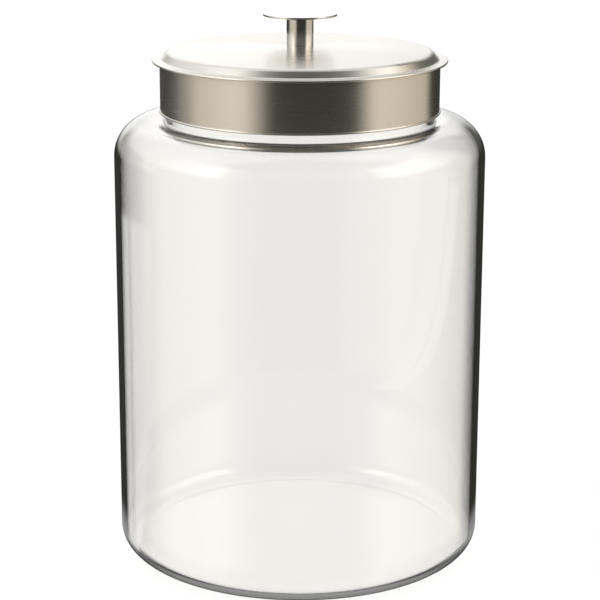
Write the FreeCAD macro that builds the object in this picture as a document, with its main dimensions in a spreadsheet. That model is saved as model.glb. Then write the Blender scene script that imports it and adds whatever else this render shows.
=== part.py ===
import FreeCAD, Part
import math
import os

import Sketcher

# A countertop storage jar: a straight-sided glass jar, the pressed metal lid that rests
# on its rim, and the turned knob on the lid. Millimetres. The origin is the middle of the
# jar's underside and +Z runs up the axis that all three pieces share.

SIZES = [
    # alias, value, what it is
    ("body_diameter", 230.0, "outside of the glass wall"),
    ("wall", 3.8, "thickness of the wall and shoulder"),
    ("base_thickness", 4.0, "glass under the floor"),
    ("heel_radius", 15.0, "outside curve from underside to wall"),
    ("floor_corner_radius", 11.0, "inside curve from floor to wall"),
    ("shoulder_height", 278.0, "underside to the top of the shoulder"),
    ("shoulder_radius", 23.0, "outside curve from wall to shoulder top"),
    ("shoulder_dip", 16.0, "fall of the shoulder towards the neck, in degrees"),
    ("neck_diameter", 166.0, "outside of the neck"),
    ("neck_wall", 4.0, "thickness of the neck"),
    ("neck_rise", 35.7, "top of the shoulder to the rim"),
    ("neck_root_fillet", 1.5, "outside fillet where the neck leaves the shoulder"),
    ("neck_bore_fillet", 5.0, "inside curve from shoulder to neck"),
    ("rim_rounding", 0.6, "fire-polished edges of the rim"),
    ("sheet", 0.9, "thickness of the lid's metal"),
    ("skirt_gap", 2.3, "clearance between neck and skirt"),
    ("skirt_clearance", 4.0, "top of the shoulder to the skirt's lower edge"),
    ("hem_radius", 0.7, "half-round bead along the skirt's lower edge"),
    ("flange_reach", 4.7, "how far the flange stands out from the skirt"),
    ("flange_thickness", 1.4, "folded edge of the flange"),
    ("seat_bearing", 2.0, "width of the neck's top that the lid's seat covers"),
    ("step_inset", 0.2, "foot of the cover's step inside the skirt's face"),
    ("step_angle", 50.0, "slope of the step, in degrees"),
    ("step_foot_radius", 1.5, "hollow curve from flange to step"),
    ("step_top_radius", 3.5, "round curve from step to crown"),
    ("crown_height", 7.3, "flange to the middle of the cover"),
    ("crown_radius", 1100.0, "curve of the shallow dome"),
    ("stem_diameter", 16.5, "knob's stem"),
    ("knob_seat_margin", 1.75, "flat of the cover around the stem"),
    ("knob_height", 20.0, "cover to the top of the knob"),
    ("disc_diameter", 45.4, "knob's disc"),
    ("disc_thickness", 1.3, "knob's disc"),
    ("disc_rounding", 0.4, "broken edges of the disc"),
    ("stem_fillet", 0.8, "curve from stem to disc"),
]

START, END, CENTRE = 1, 2, 3  # a sketch edge's points
ORIGIN = (-1, 1)  # a sketch's own origin, as (geometry, point)
MATCH = 1e-4  # how closely an edge must lie to be the one that is looked for

doc = FreeCAD.newDocument("jar")
sheet = doc.addObject("Spreadsheet::Sheet", "Sizes")
for row, (alias, value, note) in enumerate(SIZES, start=1):
    sheet.set(f"A{row}", alias)
    sheet.set(f"B{row}", str(value))
    sheet.set(f"C{row}", note)
    sheet.setAlias(f"B{row}", alias)
doc.recompute()


def size(alias):
    return float(sheet.get(alias))


def new_body(label):
    body = doc.addObject("PartDesign::Body", label)
    body.Label = label
    return body


def new_sketch(body, name):
    """A sketch on the body's own XZ plane: sketch X is the radius, sketch Y the height."""
    plane = next(f for f in body.Origin.OriginFeatures if f.Role == "XZ_Plane")
    sketch = body.newObject("Sketcher::SketchObject", name)
    sketch.AttachmentSupport = [(plane, "")]
    sketch.MapMode = "FlatFace"
    return sketch


def add_line(sketch, start, end):
    first = FreeCAD.Vector(start[0], start[1], 0)
    last = FreeCAD.Vector(end[0], end[1], 0)
    return sketch.addGeometry(Part.LineSegment(first, last), False)


def add_arc(sketch, centre, radius, start_angle, end_angle):
    """An arc that runs anticlockwise between two angles in degrees."""
    middle = FreeCAD.Vector(centre[0], centre[1], 0)
    circle = Part.Circle(middle, FreeCAD.Vector(0, 0, 1), radius)
    arc = Part.ArcOfCircle(circle, math.radians(start_angle), math.radians(end_angle))
    return sketch.addGeometry(arc, False)


def relate(sketch, kind, *places):
    sketch.addConstraint(Sketcher.Constraint(kind, *places))


def measure(sketch, name, kind, expression, *places):
    """A named dimension, held by an expression of the sheet's sizes."""
    value = sketch.evalExpression(expression)
    value = getattr(value, "Value", value)
    if kind == "Angle":
        value = math.radians(value)
    index = sketch.addConstraint(Sketcher.Constraint(kind, *places, value))
    sketch.renameConstraint(index, name)
    sketch.setExpression(f"Constraints.{name}", expression)


def revolve(body, kind, name, sketch):
    feature = body.newObject(kind, name)
    feature.Profile = sketch
    feature.ReferenceAxis = (sketch, ["V_Axis"])
    feature.Angle = 360.0
    doc.recompute()
    return feature


def round_edges(body, name, circles, expression):
    """Fillets the circular edges of the body's last feature at these (radius, height)s."""
    base = body.Tip
    picked = []
    for number, edge in enumerate(base.Shape.Edges, start=1):
        if edge.Curve.TypeId != "Part::GeomCircle":
            continue
        for radius, height in circles:
            near_radius = abs(edge.Curve.Radius - radius) < MATCH
            if near_radius and abs(edge.Curve.Center.z - height) < MATCH:
                picked.append(f"Edge{number}")
    if len(picked) != len(circles):
        raise RuntimeError(f"{name}: {len(picked)} edges found, {len(circles)} wanted")
    fillet = body.newObject("PartDesign::Fillet", name)
    fillet.Base = (base, picked)
    fillet.setExpression("Radius", expression)
    doc.recompute()
    return fillet


def arc_height(centre_height, radius, offset):
    """Height of the upper half of a circle at a distance beside its centre."""
    return centre_height + math.sqrt(radius**2 - offset**2)


def shoulder_centre():
    """Where the outside and inside curves of the shoulder have their common centre."""
    radius = size("shoulder_radius")
    return size("body_diameter") / 2 - radius, size("shoulder_height") - radius


def shoulder_end(radius, neck):
    """Where a shoulder curve stops: past its top by the dip, or at a neck that is wider."""
    centre_r, centre_z = shoulder_centre()
    dip = math.radians(size("shoulder_dip"))
    angle = math.pi / 2 + dip
    if neck > centre_r + radius * math.cos(angle):
        angle = math.acos((neck - centre_r) / radius)
    return math.degrees(angle), (
        centre_r + radius * math.cos(angle), centre_z + radius * math.sin(angle)
    )


def neck_root(radius, neck):
    """Height at which the shoulder, curve or slope, runs into the neck."""
    _, (end_r, end_z) = shoulder_end(radius, neck)
    return end_z - (end_r - neck) * math.tan(math.radians(size("shoulder_dip")))


def jar_outline(sketch, side, heel, floor, shoulder, neck, top, names):
    """Half of the jar's outside or inside: floor, heel, wall, shoulder, neck and rim.

    The numbers place the edges roughly, and names holds the expressions that settle them."""
    centre_r, centre_z = shoulder_centre()
    end_angle, end = shoulder_end(shoulder, neck)
    root = (neck, neck_root(shoulder, neck))

    base = add_line(sketch, (0, floor), (side - heel, floor))
    corner = add_arc(sketch, (side - heel, floor + heel), heel, -90, 0)
    wall = add_line(sketch, (side, floor + heel), (side, centre_z))
    curve = add_arc(sketch, (centre_r, centre_z), shoulder, 0, end_angle)
    tube = add_line(sketch, root, (neck, top))
    cap = add_line(sketch, (neck, top), (0, top))
    axis = add_line(sketch, (0, top), (0, floor))

    relate(sketch, "Tangent", base, END, corner, START)
    relate(sketch, "Tangent", corner, END, wall, START)
    relate(sketch, "Tangent", wall, END, curve, START)
    if end[0] - neck > MATCH:
        slope = add_line(sketch, root, end)
        relate(sketch, "Tangent", curve, END, slope, END)
        relate(sketch, "Coincident", slope, START, tube, START)
        measure(sketch, "dip", "Angle", "Sizes.shoulder_dip * 1 deg", slope)
    else:
        relate(sketch, "Coincident", curve, END, tube, START)
    relate(sketch, "Coincident", tube, END, cap, START)
    relate(sketch, "Coincident", cap, END, axis, START)
    relate(sketch, "Coincident", axis, END, base, START)
    relate(sketch, "Horizontal", base)
    relate(sketch, "Vertical", wall)
    relate(sketch, "Vertical", tube)
    relate(sketch, "Horizontal", cap)
    relate(sketch, "PointOnObject", cap, END, -2)

    if floor == 0:
        relate(sketch, "Coincident", base, START, *ORIGIN)
    else:
        relate(sketch, "PointOnObject", base, START, -2)
        measure(sketch, "floor", "DistanceY", names["floor"], *ORIGIN, base, START)
    measure(sketch, "side", "DistanceX", names["side"], *ORIGIN, wall, END)
    measure(sketch, "heel", "Radius", names["heel"], corner)
    measure(sketch, "shoulder", "Radius", names["shoulder"], curve)
    measure(sketch, "shoulder_centre", "DistanceY", names["centre"], *ORIGIN, curve, CENTRE)
    measure(sketch, "neck", "DistanceX", names["neck"], *ORIGIN, tube, START)
    measure(sketch, "top", "DistanceY", names["top"], *ORIGIN, cap, START)


def make_jar():
    """The glass: turned outside, hollowed inside, with its edges melted round."""
    body = new_body("glass_jar")
    side = size("body_diameter") / 2
    neck = size("neck_diameter") / 2
    bore = neck - size("neck_wall")
    rim = size("shoulder_height") + size("neck_rise")
    shoulder = size("shoulder_radius")
    shared = {"centre": "Sizes.shoulder_height - Sizes.shoulder_radius"}

    outside = new_sketch(body, "jar_outside")
    jar_outline(outside, side, size("heel_radius"), 0, shoulder, neck, rim, dict(
        shared,
        side="Sizes.body_diameter / 2",
        heel="Sizes.heel_radius",
        shoulder="Sizes.shoulder_radius",
        neck="Sizes.neck_diameter / 2",
        top="Sizes.shoulder_height + Sizes.neck_rise",
    ))
    revolve(body, "PartDesign::Revolution", "jar_blank", outside)

    inner_shoulder = shoulder - size("wall")
    inside = new_sketch(body, "jar_inside")
    jar_outline(
        inside, side - size("wall"), size("floor_corner_radius"), size("base_thickness"),
        inner_shoulder, bore, rim, dict(
            shared,
            floor="Sizes.base_thickness",
            side="Sizes.body_diameter / 2 - Sizes.wall",
            heel="Sizes.floor_corner_radius",
            shoulder="Sizes.shoulder_radius - Sizes.wall",
            neck="Sizes.neck_diameter / 2 - Sizes.neck_wall",
            top="Sizes.shoulder_height + Sizes.neck_rise",
        ),
    )
    revolve(body, "PartDesign::Groove", "jar_hollow", inside)

    inner_root = (bore, neck_root(inner_shoulder, bore))
    outer_root = (neck, neck_root(shoulder, neck))
    round_edges(body, "bore_curve", [inner_root], "Sizes.neck_bore_fillet")
    round_edges(body, "root_curve", [outer_root], "Sizes.neck_root_fillet")
    round_edges(body, "rim_curves", [(neck, rim), (bore, rim)], "Sizes.rim_rounding")
    return body


def lid_outline(sketch):
    """Half section of the lid, with the seat on the rim at height 0."""
    metal = size("sheet")
    skirt_in = size("neck_diameter") / 2 + size("skirt_gap")
    skirt_out = skirt_in + metal
    edge = size("flange_thickness") / 2
    flange_end = skirt_out + size("flange_reach") - edge
    flange_low = metal - size("flange_thickness")
    skirt_low = size("skirt_clearance") - size("neck_rise")
    hem = size("hem_radius")
    seat_in = size("neck_diameter") / 2 - size("seat_bearing")
    foot_r = skirt_out - size("step_inset")
    foot = size("step_foot_radius")
    round_top = size("step_top_radius")
    slope = math.radians(size("step_angle"))
    crown = size("crown_radius")
    seat_r = size("stem_diameter") / 2 + size("knob_seat_margin")
    top = metal + size("crown_height")

    # the step runs up from its foot until its rounded top meets the crown from inside
    up = FreeCAD.Vector(-math.cos(slope), math.sin(slope), 0)
    inward = FreeCAD.Vector(-math.sin(slope), -math.cos(slope), 0)
    step_start = FreeCAD.Vector(foot_r, metal + foot, 0) + inward * foot
    crown_centre = FreeCAD.Vector(seat_r, top - crown, 0)
    reach = step_start + inward * round_top - crown_centre
    half = reach.dot(up)
    run = -half + math.sqrt(half**2 - reach.dot(reach) + (crown - round_top) ** 2)
    step_end = step_start + up * run
    top_centre = step_end + inward * round_top
    meet = top_centre - crown_centre
    meet_angle = math.degrees(math.atan2(meet.y, meet.x))
    slope_angle = 90 - size("step_angle")
    riser_angle = math.degrees(math.acos((seat_in - seat_r) / (crown - metal)))
    riser_top = arc_height(crown_centre.y, crown - metal, seat_in - seat_r)

    bottom = add_line(sketch, (skirt_in, skirt_low), (skirt_out, skirt_low))
    bead = add_arc(sketch, (skirt_out, skirt_low + hem), hem, -90, 90)
    skirt = add_line(sketch, (skirt_out, skirt_low + 2 * hem), (skirt_out, flange_low))
    flange_under = add_line(sketch, (skirt_out, flange_low), (flange_end, flange_low))
    flange_edge = add_arc(sketch, (flange_end, flange_low + edge), edge, -90, 90)
    flange_top = add_line(sketch, (flange_end, metal), (foot_r, metal))
    hollow = add_arc(sketch, (foot_r, metal + foot), foot, 180 + slope_angle, 270)
    step = add_line(sketch, step_start[:2], step_end[:2])
    shoulder = add_arc(sketch, top_centre[:2], round_top, slope_angle, meet_angle)
    dome = add_arc(sketch, crown_centre[:2], crown, meet_angle, 90)
    flat = add_line(sketch, (seat_r, top), (0, top))
    axis = add_line(sketch, (0, top), (0, top - metal))
    flat_under = add_line(sketch, (0, top - metal), (seat_r, top - metal))
    dome_under = add_arc(sketch, crown_centre[:2], crown - metal, riser_angle, 90)
    riser = add_line(sketch, (seat_in, riser_top), (seat_in, 0))
    seat = add_line(sketch, (seat_in, 0), (skirt_in, 0))
    skirt_under = add_line(sketch, (skirt_in, 0), (skirt_in, skirt_low))

    relate(sketch, "Tangent", bottom, END, bead, START)
    relate(sketch, "Coincident", bead, END, skirt, START)
    relate(sketch, "Coincident", skirt, END, flange_under, START)
    relate(sketch, "Tangent", flange_under, END, flange_edge, START)
    relate(sketch, "Tangent", flange_edge, END, flange_top, START)
    relate(sketch, "Tangent", flange_top, END, hollow, END)
    relate(sketch, "Tangent", hollow, START, step, START)
    relate(sketch, "Tangent", step, END, shoulder, START)
    relate(sketch, "Tangent", shoulder, END, dome, START)
    relate(sketch, "Tangent", dome, END, flat, START)
    relate(sketch, "Coincident", flat, END, axis, START)
    relate(sketch, "Coincident", axis, END, flat_under, START)
    relate(sketch, "Tangent", flat_under, END, dome_under, END)
    relate(sketch, "Coincident", dome_under, START, riser, START)
    relate(sketch, "Coincident", riser, END, seat, START)
    relate(sketch, "Coincident", seat, END, skirt_under, START)
    relate(sketch, "Coincident", skirt_under, END, bottom, START)
    for level in (bottom, flange_under, flat, seat):
        relate(sketch, "Horizontal", level)
    for upright in (skirt, riser, skirt_under):
        relate(sketch, "Vertical", upright)
    relate(sketch, "PointOnObject", axis, START, -2)
    relate(sketch, "PointOnObject", axis, END, -2)
    relate(sketch, "PointOnObject", seat, END, -1)
    relate(sketch, "PointOnObject", bead, CENTRE, skirt)

    neck = "Sizes.neck_diameter / 2"
    skirt_face = neck + " + Sizes.skirt_gap"
    lower = "Sizes.neck_rise - Sizes.skirt_clearance"
    measure(sketch, "skirt_inside", "DistanceX", skirt_face, *ORIGIN, seat, END)
    measure(sketch, "skirt_sheet", "DistanceX", "Sizes.sheet", bottom, START, bottom, END)
    measure(sketch, "skirt_drop", "DistanceY", lower, skirt_under, END, seat, END)
    measure(sketch, "hem", "Radius", "Sizes.hem_radius", bead)
    measure(sketch, "flange_fold", "Radius", "Sizes.flange_thickness / 2", flange_edge)
    measure(sketch, "flange_out", "DistanceX",
            "Sizes.flange_reach - Sizes.flange_thickness / 2",
            flange_under, START, flange_under, END)
    measure(sketch, "flange_level", "DistanceY", "Sizes.sheet", *ORIGIN, flange_top, END)
    measure(sketch, "step_foot", "DistanceX",
            skirt_face + " + Sizes.sheet - Sizes.step_inset", *ORIGIN, flange_top, END)
    measure(sketch, "seat_bore", "DistanceX", neck + " - Sizes.seat_bearing",
            *ORIGIN, seat, START)
    measure(sketch, "step_hollow", "Radius", "Sizes.step_foot_radius", hollow)
    measure(sketch, "step_slope", "Angle", "(180 - Sizes.step_angle) * 1 deg", step)
    measure(sketch, "step_round", "Radius", "Sizes.step_top_radius", shoulder)
    measure(sketch, "dome_curve", "Radius", "Sizes.crown_radius", dome)
    measure(sketch, "dome_curve_under", "Radius", "Sizes.crown_radius - Sizes.sheet", dome_under)
    measure(sketch, "seat_flat", "DistanceX",
            "Sizes.stem_diameter / 2 + Sizes.knob_seat_margin", flat, END, flat, START)
    measure(sketch, "cover_sheet", "DistanceY", "Sizes.sheet", axis, END, axis, START)
    measure(sketch, "cover_top", "DistanceY", "Sizes.crown_height + Sizes.sheet",
            *ORIGIN, axis, START)


def make_lid():
    """The lid: one pressed shell, whose seat lies on the jar's rim."""
    body = new_body("lid_cap")
    section = new_sketch(body, "lid_section")
    lid_outline(section)
    revolve(body, "PartDesign::Revolution", "lid_shell", section)
    body.setExpression("Placement.Base.z", "Sizes.shoulder_height + Sizes.neck_rise")
    return body


def make_knob():
    """The knob: a plain stem under a thin disc, standing on the lid's flat middle."""
    body = new_body("knob")
    stem_r = size("stem_diameter") / 2
    disc_r = size("disc_diameter") / 2
    top = size("knob_height")
    under = top - size("disc_thickness")

    section = new_sketch(body, "knob_section")
    corners = [(0, 0), (stem_r, 0), (stem_r, under), (disc_r, under), (disc_r, top), (0, top)]
    edges = [
        add_line(section, corners[i], corners[(i + 1) % len(corners)])
        for i in range(len(corners))
    ]
    for i, edge in enumerate(edges):
        relate(section, "Coincident", edge, END, edges[(i + 1) % len(edges)], START)
        relate(section, "Horizontal" if i % 2 == 0 else "Vertical", edge)
    foot, stem, disc_under, disc_edge, disc_top, _ = edges
    relate(section, "Coincident", foot, START, *ORIGIN)
    measure(section, "stem", "DistanceX", "Sizes.stem_diameter / 2", *ORIGIN, stem, START)
    measure(section, "disc", "DistanceX", "Sizes.disc_diameter / 2", *ORIGIN, disc_edge, START)
    measure(section, "disc_sheet", "DistanceY", "Sizes.disc_thickness",
            disc_edge, START, disc_edge, END)
    measure(section, "top", "DistanceY", "Sizes.knob_height", *ORIGIN, disc_top, END)
    revolve(body, "PartDesign::Revolution", "knob_blank", section)

    round_edges(body, "stem_curve", [(stem_r, under)], "Sizes.stem_fillet")
    round_edges(body, "disc_edges", [(disc_r, under), (disc_r, top)], "Sizes.disc_rounding")
    body.setExpression(
        "Placement.Base.z",
        "Sizes.shoulder_height + Sizes.neck_rise + Sizes.sheet + Sizes.crown_height",
    )
    return body


def check(bodies):
    """Stops if an object failed, a sketch is loose or a sub-part isn't one good solid."""
    for item in doc.Objects:
        failed = {"Invalid", "Error"} & set(item.State)
        if failed:
            raise RuntimeError(f"{item.Label} is {sorted(failed)}")
        if item.TypeId == "Sketcher::SketchObject" and item.solve() != 0:
            raise RuntimeError(f"{item.Label} has no solution")
    for body in bodies:
        shape = body.Shape
        if shape.isNull() or not shape.isValid() or len(shape.Solids) != 1:
            raise RuntimeError(f"{body.Label} isn't one valid solid")


bodies = [make_jar(), make_lid(), make_knob()]
doc.recompute()
check(bodies)
os.makedirs("parts", exist_ok=True)
for body in bodies:
    body.Shape.exportStep(f"parts/{body.Label}.step")
    box = body.Shape.optimalBoundingBox()
    reach = f"r {box.XMax:.2f}, z {box.ZMin:.2f} to {box.ZMax:.2f}"
    print(f"{body.Label}: {body.Shape.Volume:.0f} mm3, {reach}")
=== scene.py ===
import math

import bpy
from mathutils import Matrix, Vector


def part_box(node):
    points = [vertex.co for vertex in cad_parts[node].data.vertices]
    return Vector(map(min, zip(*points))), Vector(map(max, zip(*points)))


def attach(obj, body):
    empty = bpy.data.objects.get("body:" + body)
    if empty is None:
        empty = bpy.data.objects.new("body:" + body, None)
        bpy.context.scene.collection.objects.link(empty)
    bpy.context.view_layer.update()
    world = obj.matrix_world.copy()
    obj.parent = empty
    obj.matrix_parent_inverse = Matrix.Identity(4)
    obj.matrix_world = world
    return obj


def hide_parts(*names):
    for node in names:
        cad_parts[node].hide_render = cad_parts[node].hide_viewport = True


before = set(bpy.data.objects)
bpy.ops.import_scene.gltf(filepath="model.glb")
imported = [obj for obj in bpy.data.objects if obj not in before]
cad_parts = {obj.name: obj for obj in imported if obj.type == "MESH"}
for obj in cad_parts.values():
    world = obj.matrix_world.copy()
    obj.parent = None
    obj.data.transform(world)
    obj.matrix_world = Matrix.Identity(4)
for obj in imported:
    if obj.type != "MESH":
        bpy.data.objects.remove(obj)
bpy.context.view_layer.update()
print("frame loaded:", sorted(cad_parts))


def linear(hexColour):
    # sRGB hex to the linear numbers that the shaders take
    parts = [int(hexColour[i:i + 2], 16) / 255 for i in (0, 2, 4)]
    lin = [c / 12.92 if c <= 0.04045 else ((c + 0.055) / 1.055) ** 2.4 for c in parts]
    return (lin[0], lin[1], lin[2], 1.0)


def addNode(tree, kind, place, settings=None, inputs=None):
    # settings are the node's own options; an input is a value, or a socket to link from
    node = tree.nodes.new(kind)
    node.location = place
    for name, value in (settings or {}).items():
        setattr(node, name, value)
    for name, value in (inputs or {}).items():
        if isinstance(value, bpy.types.NodeSocket):
            tree.links.new(value, node.inputs[name])
        else:
            node.inputs[name].default_value = value
    return node


def newMaterial(name):
    material = bpy.data.materials.new(name)
    material.use_nodes = True
    material.node_tree.nodes.clear()
    return material, material.node_tree


def dress(nodeName, material):
    # the solid keeps its shape and takes a better finish
    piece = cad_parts[nodeName]
    piece.data.materials.clear()
    piece.data.materials.append(material)
    for face in piece.data.polygons:
        face.material_index = 0


camera = {
    "place": (0.0, -1.219, 0.4926),  # m
    "pitchDown": 15.24,  # degrees
    "roll": 0.172,  # degrees, the right side raised
    "turn": 0.022,  # degrees towards +X
    "lens": 119.5,  # mm
    "sensor": 36,  # mm
    "nearest": 0.05,  # m, nothing closer is drawn
}


def makeCamera():
    data = bpy.data.cameras.new("studioCamera")
    data.lens = camera["lens"]
    data.sensor_width = camera["sensor"]
    data.clip_start = camera["nearest"]
    obj = bpy.data.objects.new("studioCamera", data)
    bpy.context.scene.collection.objects.link(obj)
    down, across = math.radians(camera["pitchDown"]), math.radians(camera["turn"])
    level = Vector((math.sin(across), math.cos(across), 0))
    ahead = level * math.cos(down) - Vector((0, 0, math.sin(down)))
    right = Vector((level.y, -level.x, 0))
    up = right.cross(ahead)
    roll = math.radians(camera["roll"])
    side = right * math.cos(roll) + up * math.sin(roll)
    top = side.cross(ahead)
    turn = Matrix((side, top, -ahead)).transposed().to_4x4()
    obj.matrix_world = Matrix.Translation(camera["place"]) @ turn
    bpy.context.scene.camera = obj


makeCamera()
bpy.context.scene.view_settings.view_transform = "Standard"
print("camera placed")


# soda-lime glass, blown in a mould and fire-polished: clear, with hard reflections,
# a trace of warmth, and slow ripples where it cooled
glass = {
    "colour": "FCFBF9",
    "ior": 1.52,
    "ripple": 40.0,  # mm from crest to crest
    "rippleDepth": 0.08,  # mm
    "rippleFine": 0.3,  # how strongly finer ripples show on the wide ones
    "shadow": "F2F2EE",  # what a wall lets through to the floor
}


def makeGlass():
    material, tree = newMaterial("mouldedSodaLimeGlass")
    coord = addNode(tree, "ShaderNodeTexCoord", (-900, 0))
    ripple = addNode(tree, "ShaderNodeTexNoise", (-700, 0), {"noise_dimensions": "3D"}, {
        "Vector": coord.outputs["Object"],
        "Scale": 1000 / glass["ripple"],
        "Detail": 1.0,
        "Roughness": glass["rippleFine"],
    })
    bump = addNode(tree, "ShaderNodeBump", (-450, -150), None, {
        "Height": ripple.outputs["Fac"],
        "Distance": glass["rippleDepth"] / 1000,
        "Strength": 1.0,
    })
    body = addNode(tree, "ShaderNodeBsdfPrincipled", (-200, 0), None, {
        "Base Color": linear(glass["colour"]),
        "Roughness": 0.0,
        "IOR": glass["ior"],
        "Transmission Weight": 1.0,
        "Normal": bump.outputs["Normal"],
    })
    clear = addNode(tree, "ShaderNodeBsdfTransparent", (-200, -420), None, {
        "Color": linear(glass["shadow"]),
    })
    path = addNode(tree, "ShaderNodeLightPath", (-200, 400))
    mix = addNode(tree, "ShaderNodeMixShader", (150, 0), None, {
        0: path.outputs["Is Shadow Ray"],
        1: body.outputs["BSDF"],
        2: clear.outputs["BSDF"],
    })
    addNode(tree, "ShaderNodeOutputMaterial", (350, 0), None, {"Surface": mix.outputs[0]})
    return material


# the jar's half section in mm; its outside and rim come from the solid's box
jar = {
    "wall": 3.8,
    "base": 4.0,
    "heel": 15.0,
    "floorCorner": 11.0,
    "shoulderTop": 278.0,
    "shoulder": 23.0,
    "shoulderDip": 16.0,  # degrees
    "neckRadius": 83.0,
    "neckWall": 4.0,
    "neckRoot": 1.5,
    "boreCurve": 5.0,
    "rimRound": 0.6,
    "sides": 288,  # faces round the jar
    # and along each part of the half section
    "steps": {
        "flat": 12, "heel": 14, "wall": 24, "shoulder": 20, "neckRoot": 6, "rim": 5,
        "boreCurve": 8, "innerShoulder": 18, "floorCorner": 12,
    },
}


def roundCorner(before, corner, after, radius, steps):
    # points of a fillet of that radius between two straight runs
    one = (Vector(before) - Vector(corner)).normalized()
    two = (Vector(after) - Vector(corner)).normalized()
    half = one.angle(two) / 2
    start = Vector(corner) + one * radius / math.tan(half)
    end = Vector(corner) + two * radius / math.tan(half)
    centre = Vector(corner) + (one + two).normalized() * radius / math.sin(half)
    a, b = start - centre, end - centre
    sweep = a.angle_signed(b)
    points = []
    for i in range(steps + 1):
        turn = -sweep * i / steps
        points.append((
            centre.x + a.x * math.cos(turn) - a.y * math.sin(turn),
            centre.y + a.x * math.sin(turn) + a.y * math.cos(turn),
        ))
    return points


def arc(centre, radius, start, end, steps):
    # angles in degrees
    points = []
    for i in range(steps + 1):
        turn = math.radians(start + (end - start) * i / steps)
        points.append((centre[0] + radius * math.cos(turn), centre[1] + radius * math.sin(turn)))
    return points


def run(start, end, steps):
    # the points between two ends, without the ends
    return [
        (start[0] + (end[0] - start[0]) * i / steps, start[1] + (end[1] - start[1]) * i / steps)
        for i in range(1, steps)
    ]


def jarSection():
    # out from the middle of the underside, up the outside, over the rim and down the inside
    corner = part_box("glass_jar")[1] * 1000
    side, rim = corner.x, corner.z
    inner = side - jar["wall"]
    centre = (side - jar["shoulder"], jar["shoulderTop"] - jar["shoulder"])
    dip = math.radians(jar["shoulderDip"])
    neck, bore = jar["neckRadius"], jar["neckRadius"] - jar["neckWall"]
    heel, floor, steps = jar["heel"], jar["floorCorner"], jar["steps"]

    def slope(radius, reach):
        # end of a shoulder curve and the foot of the neck on the slope that follows it
        end = (centre[0] - radius * math.sin(dip), centre[1] + radius * math.cos(dip))
        return end, (reach, end[1] - (end[0] - reach) * math.tan(dip))

    outerEnd, outerRoot = slope(jar["shoulder"], neck)
    innerEnd, innerRoot = slope(jar["shoulder"] - jar["wall"], bore)
    over = 90 + jar["shoulderDip"]
    points = [(0, 0), *run((0, 0), (side - heel, 0), steps["flat"])]
    points += arc((side - heel, heel), heel, -90, 0, steps["heel"])
    points += run((side, heel), (side, centre[1]), steps["wall"])
    points += arc(centre, jar["shoulder"], 0, over, steps["shoulder"])
    points += roundCorner(outerEnd, outerRoot, (neck, rim), jar["neckRoot"], steps["neckRoot"])
    points += roundCorner(outerRoot, (neck, rim), (bore, rim), jar["rimRound"], steps["rim"])
    points += roundCorner((neck, rim), (bore, rim), innerRoot, jar["rimRound"], steps["rim"])
    points += roundCorner((bore, rim), innerRoot, innerEnd, jar["boreCurve"], steps["boreCurve"])
    points += arc(centre, jar["shoulder"] - jar["wall"], over, 0, steps["innerShoulder"])
    points += run((inner, centre[1]), (inner, jar["base"] + floor), steps["wall"])
    points += arc((inner - floor, jar["base"] + floor), floor, 0, -90, steps["floorCorner"])
    points += run((inner - floor, jar["base"]), (0, jar["base"]), steps["flat"])
    points.append((0, jar["base"]))
    return [(r / 1000, z / 1000) for r, z in points]  # mm to m


def turned(name, section, sides):
    # a closed solid of revolution; the section's first and last points lie on the axis
    verts, rings = [], []
    onAxis = 1e-9  # m
    for radius, height in section:
        if radius < onAxis:
            rings.append([len(verts)] * sides)
            verts.append((0, 0, height))
            continue
        rings.append(list(range(len(verts), len(verts) + sides)))
        for i in range(sides):
            turn = 2 * math.pi * i / sides
            verts.append((radius * math.cos(turn), radius * math.sin(turn), height))
    faces = []
    for low, high in zip(rings, rings[1:]):
        for i in range(sides):
            j = (i + 1) % sides
            corners = [low[i], low[j], high[j], high[i]]
            faces.append([v for n, v in enumerate(corners) if v not in corners[:n]])
    mesh = bpy.data.meshes.new(name)
    mesh.from_pydata(verts, [], faces)
    mesh.shade_smooth()
    obj = bpy.data.objects.new(name, mesh)
    bpy.context.scene.collection.objects.link(obj)
    return obj


def makeJar():
    piece = turned("jarGlass", jarSection(), jar["sides"])
    piece.data.materials.append(makeGlass())
    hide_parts("glass_jar")
    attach(piece, "root")


makeJar()
print("glass dressed")


# stainless steel sheet, pressed and brushed round its axis: satin, warm grey, with highlights
# drawn out across the brush lines
lid = {
    "colour": "EAE6DE",
    "roughness": 0.27,
    "grain": 0.5,  # mm between brush lines; the real ones, about 0.05 mm, are too fine to show
    "grainDepth": 0.00012,  # mm
    "spread": 0.01,  # how far the roughness wanders
    "stretch": 0.75,  # how much the brushing draws highlights out
    "stretchTurn": 0.25,  # of a full turn, from along the lines to across them
}


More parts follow.
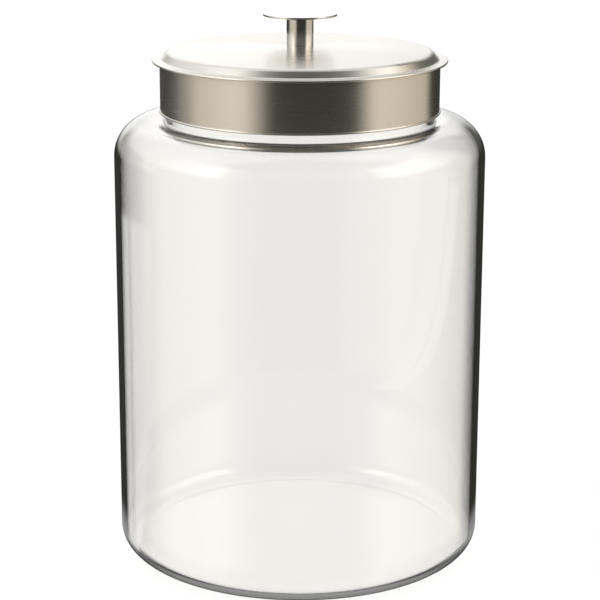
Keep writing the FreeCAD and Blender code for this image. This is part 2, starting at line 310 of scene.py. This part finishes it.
def brushLines(tree, coord, grain, place):
    # noise that runs round the axis: fine across the lines, very long along them
    x, y = place
    cellsPerRadian = 0.9
    parts = addNode(tree, "ShaderNodeSeparateXYZ", (x, y), None, {"Vector": coord})
    flat = addNode(tree, "ShaderNodeCombineXYZ", (x + 180, y + 120), None, {
        "X": parts.outputs["X"],
        "Y": parts.outputs["Y"],
    })
    radius = addNode(tree, "ShaderNodeVectorMath", (x + 360, y + 120), {"operation": "LENGTH"}, {
        0: flat.outputs[0],
    })
    turn = addNode(tree, "ShaderNodeMath", (x + 180, y - 120), {"operation": "ARCTAN2"}, {
        0: parts.outputs["Y"],
        1: parts.outputs["X"],
    })
    slow = addNode(tree, "ShaderNodeMath", (x + 360, y - 120), {"operation": "MULTIPLY"}, {
        0: turn.outputs[0],
        1: grain / 1000 * cellsPerRadian,
    })
    along = addNode(tree, "ShaderNodeCombineXYZ", (x + 540, y), None, {
        "X": radius.outputs["Value"],
        "Y": slow.outputs[0],
        "Z": parts.outputs["Z"],
    })
    return addNode(tree, "ShaderNodeTexNoise", (x + 720, y), {"noise_dimensions": "3D"}, {
        "Vector": along.outputs[0],
        "Scale": 1000 / grain,
        "Detail": 2.0,
        "Roughness": 0.6,
    })


def grainOf(tree, finish):
    # the brush lines or tool marks of a finish, as a roughness that wanders and as relief
    coord = addNode(tree, "ShaderNodeTexCoord", (-1600, 0))
    lines = brushLines(tree, coord.outputs["Object"], finish["grain"], (-1400, 0))
    noiseLow, noiseHigh = 0.3, 0.7  # nearly all of the noise lies between these
    rough = addNode(tree, "ShaderNodeMapRange", (-400, 150), None, {
        "Value": lines.outputs["Fac"],
        "From Min": noiseLow,
        "From Max": noiseHigh,
        "To Min": finish["roughness"] - finish["spread"] / 2,
        "To Max": finish["roughness"] + finish["spread"] / 2,
    })
    bump = addNode(tree, "ShaderNodeBump", (-400, -150), None, {
        "Height": lines.outputs["Fac"],
        "Distance": finish["grainDepth"] / 1000,
        "Strength": 1.0,
    })
    return rough, bump


def makeLidSteel():
    material, tree = newMaterial("brushedStainlessSteel")
    rough, bump = grainOf(tree, lid)
    tangent = addNode(tree, "ShaderNodeTangent", (-400, -400), {
        "direction_type": "RADIAL",
        "axis": "Z",
    })
    body = addNode(tree, "ShaderNodeBsdfPrincipled", (-100, 0), None, {
        "Base Color": linear(lid["colour"]),
        "Metallic": 1.0,
        "Roughness": rough.outputs["Result"],
        "Anisotropic": lid["stretch"],
        "Anisotropic Rotation": lid["stretchTurn"],
        "Normal": bump.outputs["Normal"],
        "Tangent": tangent.outputs["Tangent"],
    })
    addNode(tree, "ShaderNodeOutputMaterial", (250, 0), None, {"Surface": body.outputs["BSDF"]})
    return material


dress("lid_cap", makeLidSteel())
print("lid dressed")


# stainless steel bar, turned and polished: brighter and sharper than the lid, with the last
# traces of the turning
knob = {
    "colour": "E6E3DE",
    "roughness": 0.14,
    "grain": 0.5,  # mm between tool marks; the real ones, about 0.1 mm, are too fine to show
    "grainDepth": 0.001,  # mm
    "spread": 0.06,
}


def makeKnobSteel():
    material, tree = newMaterial("polishedTurnedSteel")
    rough, bump = grainOf(tree, knob)
    body = addNode(tree, "ShaderNodeBsdfPrincipled", (-100, 0), None, {
        "Base Color": linear(knob["colour"]),
        "Metallic": 1.0,
        "Roughness": rough.outputs["Result"],
        "Normal": bump.outputs["Normal"],
    })
    addNode(tree, "ShaderNodeOutputMaterial", (250, 0), None, {"Surface": body.outputs["BSDF"]})
    return material


dress("knob", makeKnobSteel())
print("knob dressed")


# white table and backdrop, a softbox each side, a dim room in front
studio = {
    "floorDrop": 0.0004,  # m under the jar, so that two faces don't coincide
    "floorRadius": 6.0,  # m
    "floorSides": 96,
    # the table is lit from below as well, so that it stays white right round the jar
    "floorGlow": 0.87,
    "floorWhite": "69696A",
    "floorBounce": "E6E6E4",  # what soft light bounces off
    # m from the axis and the painted light that the table gives off there, seen only in reflections
    # and the far sides of the glass: a dull painted glow under the base, a painted shadow under
    # the heel, a brighter painted glow round the jar, nothing further out
    "paintedFloorRing": [
        (0.0, 0.30), (0.098, 0.32), (0.108, 0.32), (0.1115, 0.05), (0.1145, 0.05),
        (0.118, 0.36), (0.130, 0.30), (0.165, 0.0),
    ],
    "floorRingSpan": 0.3,  # m, the reach of the ramp that holds them
    "floorEnd": (0.138, 0.165),  # m, over which reflections lose the table
    # painted light on the table in the shape of two white cards behind the left side with a gap
    # between them, seen only in reflections: the point in m that they fan out from, degrees round
    # from the front and the light there, and the metres from the axis over which they end
    "paintedCardsFrom": (-0.108, -0.040, 0.0),
    "paintedCards": [
        (-147, 0.0, "FFFFFF"), (-145, 0.80, "FFFFFF"), (-132.6, 0.85, "FFFFFF"),
        (-131.8, 0.02, "FFFFFF"), (-130.4, 0.02, "FFFFFF"), (-129.8, 0.85, "FFFFFF"),
        (-114, 0.75, "FFFFFF"), (-94, 0.0, "FFFFFF"),
    ],
    "paintedCardsReach": (1.00, 1.10),
    # rings of light, each with the degrees up at which it starts and is whole; in a ring,
    # degrees round from the front towards +X, the light there and its tint
    "rings": [
        ((-90, -90), [
            (-180, 0.04, "FFFFFF"), (-122, 0.03, "F0F0D8"), (-108, 0.18, "F8F0D8"),
            (-90, 0.60, "FFF6E4"), (-48, 0.70, "FFF6E8"), (-20, 0.035, "FFFFE8"),
            (44, 0.035, "FFFFF0"), (66, 0.68, "FFF1E0"), (123, 0.60, "FFF1DE"),
            (135, 0.03, "F0F0E0"), (172, 0.04, "F0F0E0"), (180, 0.04, "FFFFFF"),
        ]),
        ((-6, -1), [
            (-180, 1.2, "FFFFFF"), (-166, 1.0, "FFFFFF"), (-154, 0.4, "FFFFF4"),
            (-134, 0.1, "FFFFF4"), (-100, 0.7, "FFF7EE"), (-48, 0.8, "FFF7EE"), (-20, 0.035, "FFFFF0"),
            (44, 0.035, "FFFFF0"), (66, 0.8, "FFF3E6"), (126, 0.6, "FFF3E6"),
            (138, 0.05, "F0F0E0"), (162, 0.1, "FFFFF0"), (172, 0.8, "FFFFFF"),
            (180, 1.2, "FFFFFF"),
        ]),
        ((8, 20), [
            (-180, 1.25, "FFFFFF"), (-164, 1.3, "FFFFFF"), (-142, 0.85, "FFFFFF"),
            (-110, 0.95, "FFFFFF"), (-84, 1.6, "FFFFFF"), (-58, 3.0, "FFFBF6"), (-44, 0.9, "FFF7EE"),
            (-26, 0.20, "FFFFFF"), (44, 0.20, "FFFFFF"), (62, 2.4, "FFF9F2"), (92, 2.0, "FFF9F2"),
            (120, 0.8, "FFF3E6"), (130, 0.12, "F0F0E0"), (150, 0.16, "F0F0E0"),
            (166, 1.05, "FFFFFF"), (180, 1.25, "FFFFFF"),
        ]),
        ((38, 50), [
            (-180, 0.9, "FFFFFF"), (-110, 0.9, "FFFFFF"), (-84, 1.1, "FFFFFF"), (-70, 0.9, "FFFFFF"),
            (-54, 0.07, "FFFFE0"), (76, 0.07, "FFFFE0"), (88, 0.9, "FFFFFF"),
            (110, 1.0, "FFFFFF"), (130, 0.8, "FFFFFF"), (180, 0.9, "FFFFFF"),
        ]),
        ((76, 88), [
            (-180, 0.8, "FFFFFF"), (-70, 0.5, "FFFFFF"), (-50, 0.08, "FFFFFF"),
            (60, 0.08, "FFFFFF"), (80, 0.5, "FFFFFF"), (180, 0.8, "FFFFFF"),
        ]),
    ],
}


def fillRamp(ramp, stops):
    # stops are places from 0 to 1 with a colour each, in rising order; all are placed before
    # any is coloured, because moving a stop can change their order
    while len(ramp.elements) < len(stops):
        ramp.elements.new(0.5)
    for element, (place, _) in zip(ramp.elements, stops):
        element.position = place
    for element, (_, colour) in zip(ramp.elements, stops):
        element.color = colour


def ringRamp(tree, angle, stops, place):
    # angle runs 0..1 for -180..180 degrees
    node = addNode(tree, "ShaderNodeValToRGB", place, None, {"Fac": angle})
    node.color_ramp.interpolation = "EASE"
    tinted = []
    for degrees, light, tint in stops:
        red, green, blue, _ = linear(tint)
        tinted.append((degrees / 360 + 0.5, (red * light, green * light, blue * light, 1)))
    fillRamp(node.color_ramp, tinted)
    return node.outputs["Color"]


def roundFromFront(tree, vector, place):
    # the way a vector points, seen from above: 0..1 for -180..180 degrees from -Y towards +X
    x, y = place
    parts = addNode(tree, "ShaderNodeSeparateXYZ", (x, y), None, {"Vector": vector})
    front = addNode(tree, "ShaderNodeMath", (x + 200, y), {"operation": "MULTIPLY"}, {
        0: parts.outputs["Y"],
        1: -1.0,
    })
    around = addNode(tree, "ShaderNodeMath", (x + 400, y), {"operation": "ARCTAN2"}, {
        0: parts.outputs["X"],
        1: front.outputs[0],
    })
    return addNode(tree, "ShaderNodeMapRange", (x + 600, y), None, {
        "Value": around.outputs[0],
        "From Min": -math.pi,
        "From Max": math.pi,
    }).outputs["Result"]


def straightSight(tree, place):
    # 1 for a ray from the camera, also through glass, as long as nothing has mirrored it
    x, y = place
    path = addNode(tree, "ShaderNodeLightPath", (x, y))
    unturned = addNode(tree, "ShaderNodeMath", (x + 200, y - 100), {"operation": "LESS_THAN"}, {
        0: path.outputs["Glossy Depth"],
        1: 0.5,  # no reflection yet
    })
    through = addNode(tree, "ShaderNodeMath", (x + 400, y - 100), {"operation": "MULTIPLY"}, {
        0: path.outputs["Is Transmission Ray"],
        1: unturned.outputs[0],
    })
    direct = addNode(tree, "ShaderNodeMath", (x + 600, y), {"operation": "MAXIMUM"}, {
        0: path.outputs["Is Camera Ray"],
        1: through.outputs[0],
    })
    return path, direct


def makeWorld():
    world = bpy.data.worlds.new("studio")
    world.use_nodes = True
    tree = world.node_tree
    tree.nodes.clear()
    bpy.context.scene.world = world
    coord = addNode(tree, "ShaderNodeTexCoord", (-1600, 0))
    angle = roundFromFront(tree, coord.outputs["Generated"], (-1400, 200))
    parts = addNode(tree, "ShaderNodeSeparateXYZ", (-1400, -200), None, {
        "Vector": coord.outputs["Generated"],
    })
    height = addNode(tree, "ShaderNodeMath", (-1200, -200), {"operation": "ARCSINE"}, {
        0: parts.outputs["Z"],
    })
    low, high, mixed = 6, 7, 2  # the colour sockets of a mix node
    room = None
    for step, ((start, whole), stops) in enumerate(studio["rings"]):
        ring = ringRamp(tree, angle, stops, (-560, 300 - 300 * step))
        if room is None:
            room = ring
            continue
        rise = addNode(tree, "ShaderNodeMapRange", (-250, 100 - 300 * step), {
            "interpolation_type": "SMOOTHSTEP",
        }, {
            "Value": height.outputs[0],
            "From Min": math.radians(start),
            "From Max": math.radians(whole),
        })
        room = addNode(tree, "ShaderNodeMix", (0, 300 - 300 * step), {"data_type": "RGBA"}, {
            "Factor": rise.outputs["Result"],
            low: room,
            high: ring,
        }).outputs[mixed]
    # the camera and soft light see plain white; only reflections see the room
    path, direct = straightSight(tree, (-560, 800))
    soft = addNode(tree, "ShaderNodeMath", (240, 750), {"operation": "MAXIMUM"}, {
        0: direct.outputs[0],
        1: path.outputs["Is Diffuse Ray"],
    })
    seen = addNode(tree, "ShaderNodeMix", (440, 300), {"data_type": "RGBA"}, {
        "Factor": soft.outputs[0],
        low: room,
        high: (1, 1, 1, 1),
    })
    back = addNode(tree, "ShaderNodeBackground", (640, 300), None, {
        "Color": seen.outputs[mixed],
        "Strength": 1.0,
    })
    addNode(tree, "ShaderNodeOutputWorld", (840, 300), None, {"Surface": back.outputs[0]})


def makeTable():
    sides, radius = studio["floorSides"], studio["floorRadius"]
    edge = []
    for i in range(sides):
        turn = 2 * math.pi * i / sides
        edge.append((radius * math.cos(turn), radius * math.sin(turn), -studio["floorDrop"]))
    mesh = bpy.data.meshes.new("table")
    mesh.from_pydata(edge, [], [list(range(sides))])
    obj = bpy.data.objects.new("table", mesh)
    bpy.context.scene.collection.objects.link(obj)
    return obj


def paintedTableGlow(tree):
    # painted light that reflections see on the table: a painted glow round the jar with a painted
    # shadow under the heel, the painted white cards, and clear beyond
    coord = addNode(tree, "ShaderNodeTexCoord", (-1200, -100))
    reach = addNode(tree, "ShaderNodeVectorMath", (-1000, -100), {"operation": "LENGTH"}, {
        0: coord.outputs["Object"],
    })
    span = studio["floorRingSpan"]
    scaled = addNode(tree, "ShaderNodeMath", (-900, -100), {"operation": "MULTIPLY"}, {
        0: reach.outputs["Value"],
        1: 1 / span,
    })
    # painted glow round the jar, with a painted shadow under the heel
    ring = addNode(tree, "ShaderNodeValToRGB", (-800, -100), None, {"Fac": scaled.outputs[0]})
    stops = [(radius / span, (light, light, light, 1)) for radius, light in studio["paintedFloorRing"]]
    fillRamp(ring.color_ramp, stops)
    # painted white cards of light that fan out from a point behind the left side
    offset = addNode(tree, "ShaderNodeVectorMath", (-1800, -700), {"operation": "SUBTRACT"}, {
        0: coord.outputs["Object"],
        1: studio["paintedCardsFrom"],
    })
    angle = roundFromFront(tree, offset.outputs[0], (-1600, -700))
    fan = ringRamp(tree, angle, studio["paintedCards"], (-1000, -700))
    ended = addNode(tree, "ShaderNodeMapRange", (-1000, -1000), {
        "interpolation_type": "SMOOTHSTEP",
    }, {
        "Value": reach.outputs["Value"],
        "From Min": studio["paintedCardsReach"][0],
        "From Max": studio["paintedCardsReach"][1],
        "To Min": 1.0,
        "To Max": 0.0,
    })
    paintedCardLight = addNode(tree, "ShaderNodeMath", (-800, -700), {"operation": "MULTIPLY"}, {
        0: fan,
        1: ended.outputs["Result"],
    })
    lit = addNode(tree, "ShaderNodeMath", (-650, -500), {"operation": "MAXIMUM"}, {
        0: paintedCardLight.outputs[0],
        1: ring.outputs["Color"],
    })
    fade = addNode(tree, "ShaderNodeMapRange", (-800, -350), {
        "interpolation_type": "SMOOTHSTEP",
    }, {
        "Value": reach.outputs["Value"],
        "From Min": studio["floorEnd"][0],
        "From Max": studio["floorEnd"][1],
    })
    noPaintedCardLight = addNode(tree, "ShaderNodeMath", (-650, -700), {"operation": "SUBTRACT"}, {
        0: 1.0,
        1: paintedCardLight.outputs[0],
    })
    gone = addNode(tree, "ShaderNodeMath", (-500, -600), {"operation": "MULTIPLY"}, {
        0: fade.outputs["Result"],
        1: noPaintedCardLight.outputs[0],
    })
    glow = addNode(tree, "ShaderNodeEmission", (-500, -350), None, {
        "Color": (1, 1, 1, 1),
        "Strength": lit.outputs[0],
    })
    clear = addNode(tree, "ShaderNodeBsdfTransparent", (-500, -500))
    return addNode(tree, "ShaderNodeMixShader", (-250, -400), None, {
        0: gone.outputs[0],
        1: glow.outputs[0],
        2: clear.outputs[0],
    })


def makeTableWhite():
    # white laminate, pressed smooth and matt: an even white without highlights
    material, tree = newMaterial("mattWhiteLaminate")
    path, direct = straightSight(tree, (-1200, 500))
    # painted light on the table, seen only in reflections: a glow round the jar, a shadow under the
    # heel and two white cards of light
    mirrored = paintedTableGlow(tree)
    paint = addNode(tree, "ShaderNodeBsdfDiffuse", (-500, 0), None, {
        "Color": linear(studio["floorWhite"]),
    })
    glow = addNode(tree, "ShaderNodeEmission", (-500, -150), None, {
        "Color": (1, 1, 1, 1),
        "Strength": studio["floorGlow"],
    })
    white = addNode(tree, "ShaderNodeAddShader", (-250, -50), None, {
        0: paint.outputs[0],
        1: glow.outputs[0],
    })
    plain = addNode(tree, "ShaderNodeBsdfDiffuse", (-250, -600), None, {
        "Color": linear(studio["floorBounce"]),
    })
    bounce = addNode(tree, "ShaderNodeMixShader", (0, -400), None, {
        0: path.outputs["Is Diffuse Ray"],
        1: mirrored.outputs[0],
        2: plain.outputs[0],
    })
    mix = addNode(tree, "ShaderNodeMixShader", (250, 0), None, {
        0: direct.outputs[0],
        1: bounce.outputs[0],
        2: white.outputs[0],
    })
    addNode(tree, "ShaderNodeOutputMaterial", (500, 0), None, {"Surface": mix.outputs[0]})
    material.cycles.emission_sampling = "NONE"  # as a lamp it would be slow and noisy
    return material


def makeFloor():
    obj = makeTable()
    obj.data.materials.append(makeTableWhite())


makeWorld()
makeFloor()
print("studio set")
